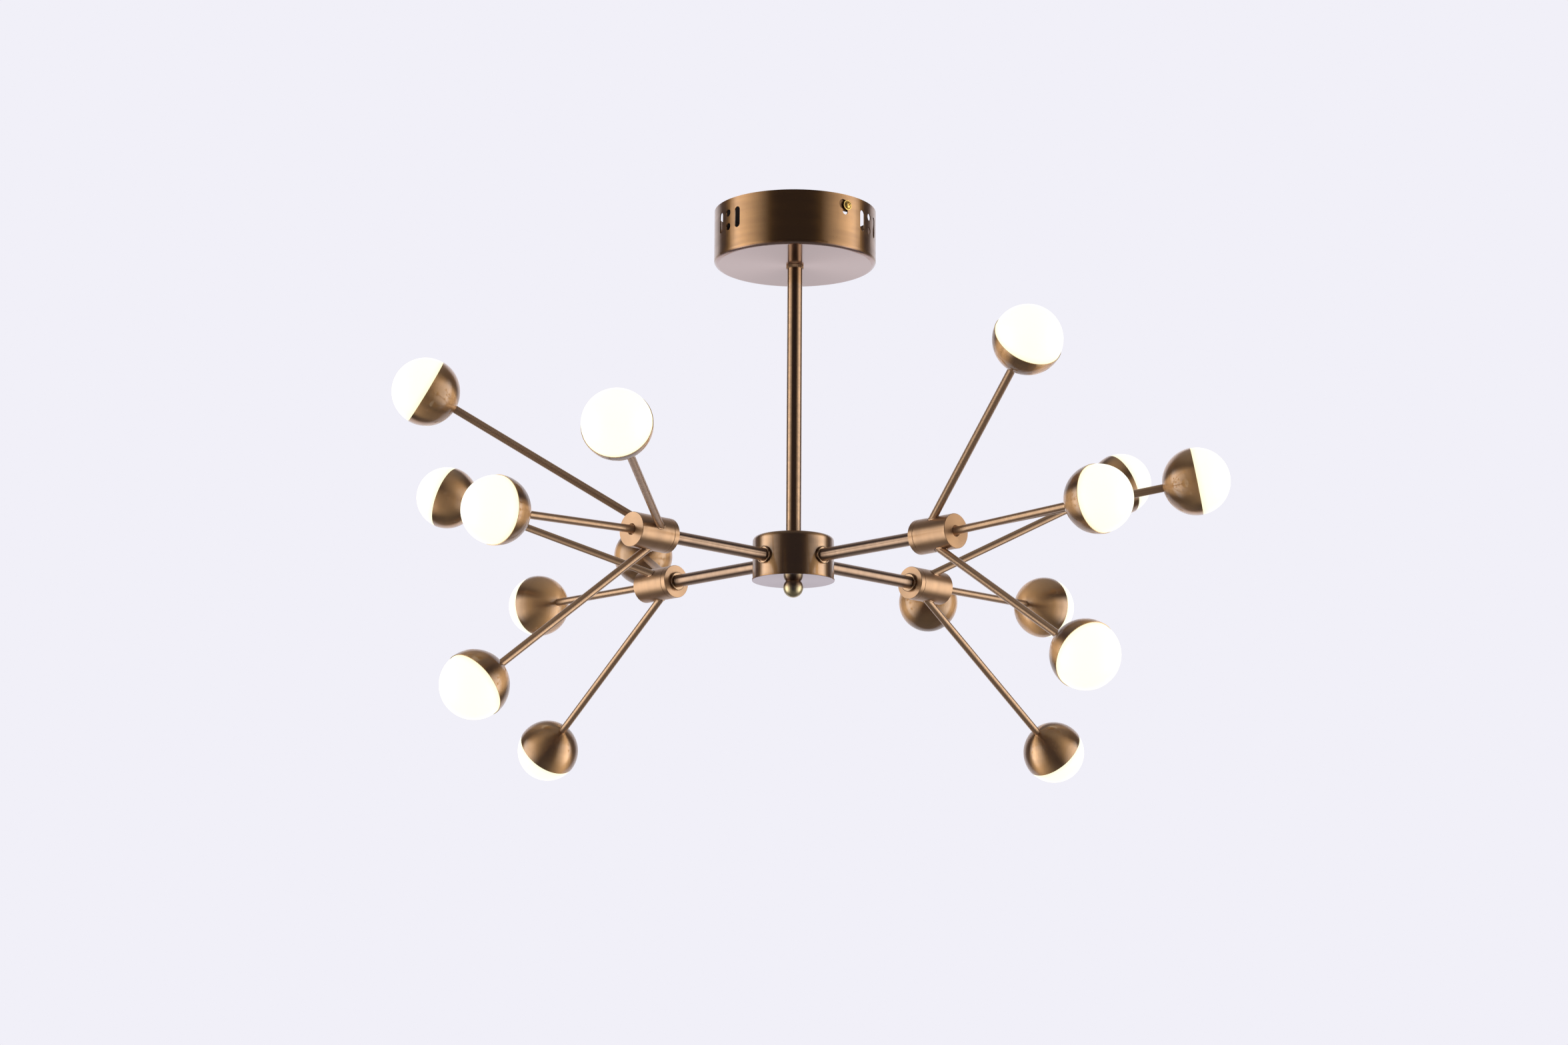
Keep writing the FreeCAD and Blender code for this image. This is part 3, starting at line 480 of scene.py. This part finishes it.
def dress_metalwork():
    """Canopy, stem, hub, collars and clusters."""
    upright = lacquered_brass("brass_brushed_upright", HUB_BRASS, lines=1500.0)
    # The undersides of the canopy and of the lid are polished, and their lilac colours paint the
    # reflection of the pale surround
    canopy = lacquered_brass("brass_brushed_canopy", CANOPY_BRASS, coat=0.8,
                             underside=dict(node="canopy_cup", whole=0.0010, fade=0.0025,
                                            colour=UNDERSIDE_BRASS_AND_PAINTED_REFLECTION, roughness=0.24))
    lid = lacquered_brass("brass_polished_lid", HUB_BRASS, lines=1500.0, coat=0.3,
                          underside=dict(node="hub_lid", whole=0.0001, fade=0.0004,
                                         colour=LID_UNDERSIDE_AND_PAINTED_REFLECTION, roughness=0.14))
    turned = lacquered_brass("brass_turned", OLIVE_BRASS, roughness=(0.34, 0.40), stretch=0.0,
                             lines=2200.0, coat=0.4, coat_roughness=0.20)
    # The collars' darker colour is painted shade of the recess where each arm enters its collar
    collars = lacquered_brass("brass_collars", COLLAR_BRASS_AND_PAINTED_SHADE, roughness=(0.22, 0.30),
                              stretch=0.0, lines=2200.0, coat=0.7, coat_roughness=0.12)
    knurled = lacquered_brass("brass_knurled", ROD_BRASS, roughness=(0.46, 0.52), stretch=0.0,
                              lines=2200.0, coat=0.2, coat_roughness=0.3, metal=0.7)
    dress(upright, "stem_tube", "hub_cup")
    dress(canopy, "canopy_cup")
    dress(lid, "hub_lid")
    dress(turned, "finial")
    dress(collars, "hub_collars", "swivel_collars")
    dress(knurled, "knurled_ring")
    for cluster in CLUSTERS:
        dress_cluster(cluster)


def dress_cluster(cluster):
    """One arm, and the brass of the cluster at its end."""
    axis = tuple(arm_axis(cluster))
    centre = tuple(swivel_point(cluster))
    arm = lacquered_brass("brass_brushed_arm_" + cluster, ARM_BRASS, axis, centre,
                          roughness=(0.34, 0.37), lines=1500.0, coat=0.3,
                          coat_roughness=0.22, wear=0.5, metal=0.98)
    body = lacquered_brass("brass_brushed_cluster_" + cluster, BODY_BRASS, axis, centre,
                           roughness=(0.38, 0.41), stretch=0.4, coat=0.35,
                           coat_roughness=0.12, metal=0.86)
    rods = lacquered_brass("brass_brushed_rods_" + cluster, ROD_BRASS, axis=None,
                           centre=tuple(meeting_point(cluster)), roughness=(0.31, 0.35),
                           stretch=0.35, lines=1700.0, coat=0.25, coat_roughness=0.18,
                           wear=0.5, metal=0.72)
    dress(arm, "arm_tube_" + cluster)
    dress(body, "cluster_body_" + cluster, "cluster_cap_" + cluster)
    dress(rods, "rods_" + cluster)
    for number in (*SIDE_RODS, END_ROD):
        start, direction = rod_line(cluster, number)
        name = cluster + "_" + str(number)
        cup = lacquered_brass("brass_spun_cup_" + name, CUP_BRASS, tuple(direction),
                              tuple(start), roughness=(0.36, 0.40), stretch=1.0,
                              lines=1100.0, metal=0.93)
        dress(cup, "ball_cup_" + name)


def dress_fittings():
    """Strap, screws, nuts, and what is inside the canopy and the hub."""
    # The strap's dark colour is painted shade of the inside of the canopy, where it shows through
    # the keyhole
    strap = lacquered_brass("brass_plated_strap_painted_shade", STRAP_BRASS_AND_PAINTED_SHADE, roughness=(0.42, 0.52),
                            stretch=0.0, coat=0.1, coat_roughness=0.3)
    screws = lacquered_brass("brass_yellow_screws", YELLOW_BRASS, roughness=(0.36, 0.42),
                             stretch=0.0, lines=2500.0, coat=0.5, coat_roughness=0.15)
    zinc = zinc_plate("steel_zinc", ZINC, crystals_per_metre=700.0, roughness=(0.20, 0.38))
    case = moulded_plastic("plastic_black_case", CASE_BLACK, 900.0, roughness=(0.34, 0.50))
    terminals = moulded_plastic("plastic_terminals", TERMINAL_WHITE, 700.0,
                                roughness=(0.30, 0.46))
    dress(strap, "ceiling_bracket")
    dress(screws, "canopy_screws")
    dress(zinc, "canopy_nipple", "canopy_nut", "hub_rod", "hub_nut", "stem_plugs", "arm_nuts",
          "swivel_nuts")
    dress(case, "led_driver")
    dress(terminals, "terminal_block")


def dress_shades():
    """Opal shades, and the LED boards inside them."""
    board = solder_mask()
    for cluster in CLUSTERS:
        dress(opal_glass(cluster), "domes_" + cluster)
        dress(board, "led_boards_" + cluster)


# Brazing round the foot of each side rod

# Radii in metres. The bead's thickness changes by the shares swell and ripple, three and seven
# times round.
BODY_RADIUS = 0.021
ROD_RADIUS = 0.00475
BEAD_RADIUS = 0.0009
BEAD_SWELL = 0.22
BEAD_RIPPLE = 0.14
BEAD_POINTS = 40


def way_out_of_body(flat, across):
    """How far along a rod a line on its skin comes out of the round body. Flat and across are
    the line's start and direction, seen along the arm."""
    a = across.length_squared
    b = 2 * flat.dot(across)
    c = flat.length_squared - BODY_RADIUS ** 2
    return (-b + math.sqrt(b * b - 4 * a * c)) / (2 * a)


def bead_curve(cluster, number):
    """Closed curve where a rod meets the round body, with the bead's thickness."""
    start, direction = rod_line(cluster, number)
    arm = arm_axis(cluster)
    side = direction.cross(arm).normalized()
    other = direction.cross(side)
    across = direction - arm * direction.dot(arm)
    curve = bpy.data.curves.new("braze_bead", "CURVE")
    curve.dimensions = "3D"
    curve.bevel_depth = BEAD_RADIUS
    curve.bevel_resolution = 3
    curve.resolution_u = 2
    spline = curve.splines.new("NURBS")
    spline.points.add(BEAD_POINTS - 1)
    for index, point in enumerate(spline.points):
        angle = 2 * math.pi * index / BEAD_POINTS
        offset = ROD_RADIUS * (math.cos(angle) * side + math.sin(angle) * other)
        flat = offset - arm * offset.dot(arm)
        place = start + offset + direction * way_out_of_body(flat, across)
        point.co = (place.x, place.y, place.z, 1.0)
        swell = BEAD_SWELL * math.sin(3 * angle + number)
        ripple = BEAD_RIPPLE * math.sin(7 * angle + 2 * number)
        point.radius = 1.0 + swell + ripple
    spline.use_cyclic_u = True
    spline.order_u = 3
    return curve


def braze_bead(cluster, number, material):
    """Thin uneven bead of braze round the foot of a rod."""
    draft = bpy.data.objects.new("braze_draft", bead_curve(cluster, number))
    bpy.context.collection.objects.link(draft)
    finished = draft.evaluated_get(bpy.context.evaluated_depsgraph_get())
    mesh = bpy.data.meshes.new_from_object(finished)
    bpy.data.objects.remove(draft)
    mesh.materials.clear()
    mesh.materials.append(material)
    for face in mesh.polygons:
        face.use_smooth = True
    bead = bpy.data.objects.new("braze_" + cluster + "_" + str(number), mesh)
    bpy.context.collection.objects.link(bead)
    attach(bead, "cluster_" + cluster)


def braze_all():
    """A bead at the foot of every side rod."""
    material = lacquered_brass("brass_braze", BODY_BRASS, roughness=(0.25, 0.38), stretch=0.0,
                               lines=900.0, line_depth=0.00002)
    for cluster in CLUSTERS:
        for number in SIDE_RODS:
            braze_bead(cluster, number, material)


# Studio: pale surround, floor, two softboxes and the camera. Places and sizes are in metres,
# angles in degrees, and the lens and the sensor in millimetres.

CAMERA_PLACE = (-0.00436, -3.9468, -1.1976)
CAMERA_SENSOR = 36.0
CAMERA_LENS = 74.49
CAMERA_PITCH = 11.433
CAMERA_YAW = -0.109
CAMERA_ROLL = 0.341

FLOOR_LEVEL = -2.4
FLOOR_HALF_WIDTH = 30.0
FLOOR_PALENESS = 0.88

SOFTBOX_PLACE = (3.2, -0.3, 0.1)
SOFTBOX_WIDTH = 3.0
SOFTBOX_HEIGHT = 2.2
SOFTBOX_POWER = 20.0

# Brightness of what polished metal shows, and the surround's own on matt surfaces
SOFTBOX_GLARE = 3.7
CEILING_GLARE = 0.30
GROUND_GLARE = 0.16
MATT_LIGHT = 0.75

# Where each thing that polished metal shows begins or ends, softly from one angle to the other.
# A bearing is 0 at the front, 90 at both sides and 180 behind. A rise is up from level.
SOFTBOX_BEGINS = (36, 90)
SOFTBOX_ENDS = (90, 110)
SOFTBOX_FOOT = (-58, -16)
SOFTBOX_TOP = (10, 34)
WALL_BEGINS = (128, 146)
WALL_FOOT = (-48, -32)
WALL_TOP = (36, 56)
CEILING_BEGINS = (40, 68)
GROUND_ENDS = (-66, -42)


def past(tree, angle, edge, kind="SMOOTHSTEP"):
    """0 before an edge and 1 past it."""
    return tree.spread(angle, math.radians(edge[0]), math.radians(edge[1]), kind=kind)


def short_of(tree, angle, edge):
    """1 before an edge and 0 past it."""
    return tree.spread(angle, math.radians(edge[0]), math.radians(edge[1]), 1.0, 0.0)


def reflected_room(tree):
    """What polished metal shows: a pale wall behind the lamp, a softbox on each side, a dim
    ceiling and ground, and a dark room in front."""
    parts = tree.node("ShaderNodeSeparateXYZ")
    tree.link(tree.node("ShaderNodeTexCoord").outputs["Generated"], parts.inputs[0])
    x, y, z = parts.outputs
    bearing = tree.maths("ARCTAN2", tree.maths("ABSOLUTE", x), tree.product(y, -1.0))
    rise = tree.maths("ARCSINE", z)
    softbox_mask = tree.product(
        past(tree, bearing, SOFTBOX_BEGINS, kind="LINEAR"),
        short_of(tree, bearing, SOFTBOX_ENDS),
        past(tree, rise, SOFTBOX_FOOT),
        short_of(tree, rise, SOFTBOX_TOP))
    wall_mask = tree.product(
        past(tree, bearing, WALL_BEGINS),
        past(tree, rise, WALL_FOOT),
        short_of(tree, rise, WALL_TOP))
    room = tree.blend_colours(wall_mask, rgba(DARK_STUDIO), rgba(PALE_STUDIO))
    for mask, glare in ((past(tree, rise, CEILING_BEGINS), CEILING_GLARE),
                        (short_of(tree, rise, GROUND_ENDS), GROUND_GLARE),
                        (softbox_mask, SOFTBOX_GLARE)):
        room = tree.blend_colours(mask, room, rgba([glare] * 3))
    return room


def surround():
    """Plain pale surround, which polished metal shows as a room."""
    world = bpy.data.worlds.new("studio_surround")
    bpy.context.scene.world = world
    world.use_nodes = True
    world.node_tree.nodes.clear()
    tree = Tree(world.node_tree)
    rays = tree.node("ShaderNodeLightPath")
    colour = tree.blend_colours(rays.outputs["Is Glossy Ray"], rgba(PALE_STUDIO),
                                reflected_room(tree))
    strength = tree.spread(rays.outputs["Is Diffuse Ray"], 0.0, 1.0, 1.0, MATT_LIGHT)
    light = tree.node("ShaderNodeBackground")
    tree.link(colour, light.inputs["Color"])
    tree.link(strength, light.inputs["Strength"])
    output = tree.node("ShaderNodeOutputWorld")
    tree.link(light.outputs[0], output.inputs["Surface"])


def floor_paint():
    """Pale paint that blends into the surround for the camera and still takes a faint shadow."""
    material, tree, surface, _ = new_material("floor_paint")
    surface.inputs["Base Color"].default_value = rgba(FLOOR_PAINT)
    surface.inputs["Roughness"].default_value = 0.9
    pale = tree.node("ShaderNodeEmission")
    pale.inputs["Color"].default_value = rgba(PALE_STUDIO)
    rays = tree.node("ShaderNodeLightPath")
    paleness = tree.product(rays.outputs["Is Camera Ray"], FLOOR_PALENESS)
    mixed = tree.node("ShaderNodeMixShader")
    tree.link(paleness, mixed.inputs[0])
    tree.link(surface.outputs[0], mixed.inputs[1])
    tree.link(pale.outputs[0], mixed.inputs[2])
    output = material.node_tree.nodes["Material Output"]
    tree.link(mixed.outputs[0], output.inputs["Surface"])
    return material


def floor():
    """Plain pale floor, well below the lamp."""
    sheet = bmesh.new()
    bmesh.ops.create_grid(sheet, x_segments=1, y_segments=1, size=FLOOR_HALF_WIDTH)
    bmesh.ops.translate(sheet, verts=sheet.verts, vec=(0.0, 0.0, FLOOR_LEVEL))
    mesh = bpy.data.meshes.new("floor")
    sheet.to_mesh(mesh)
    sheet.free()
    mesh.materials.append(floor_paint())
    piece = bpy.data.objects.new("floor", mesh)
    bpy.context.collection.objects.link(piece)
    piece.visible_glossy = False


def softbox(name, side):
    """Softbox beside the lamp, turned to face it. Side is -1 for left and 1 for right."""
    lamp = bpy.data.lights.new(name, "AREA")
    lamp.shape = "RECTANGLE"
    lamp.size = SOFTBOX_WIDTH
    lamp.size_y = SOFTBOX_HEIGHT
    lamp.energy = SOFTBOX_POWER
    piece = bpy.data.objects.new(name, lamp)
    out, along, up = SOFTBOX_PLACE
    stood_up = Matrix.Rotation(math.radians(90), 4, "X")
    facing = Matrix.Rotation(side * math.radians(90), 4, "Z")
    piece.matrix_world = Matrix.Translation((side * out, along, up)) @ (facing @ stood_up)
    piece.visible_camera = False
    piece.visible_glossy = False
    bpy.context.collection.objects.link(piece)


def camera():
    """Camera in front of the lamp and below it, looking up."""
    pitch = math.radians(CAMERA_PITCH)
    yaw = math.radians(CAMERA_YAW)
    roll = math.radians(CAMERA_ROLL)
    forward = Vector((math.sin(yaw) * math.cos(pitch), math.cos(yaw) * math.cos(pitch),
                      math.sin(pitch)))
    right = Vector((math.cos(yaw), -math.sin(yaw), 0.0))
    up = right.cross(forward)
    rolled_right = math.cos(roll) * right + math.sin(roll) * up
    rolled_up = -math.sin(roll) * right + math.cos(roll) * up
    view = bpy.data.cameras.new("camera")
    view.sensor_width = CAMERA_SENSOR
    view.lens = CAMERA_LENS
    piece = bpy.data.objects.new("camera", view)
    turn = Matrix((rolled_right, rolled_up, -forward)).transposed().to_4x4()
    piece.matrix_world = Matrix.Translation(CAMERA_PLACE) @ turn
    bpy.context.collection.objects.link(piece)
    bpy.context.scene.camera = piece


def main():
    bpy.context.scene.view_settings.view_transform = "Standard"
    camera()
    surround()
    floor()
    softbox("softbox_left", -1)
    softbox("softbox_right", 1)
    dress_metalwork()
    dress_fittings()
    dress_shades()
    braze_all()


main()
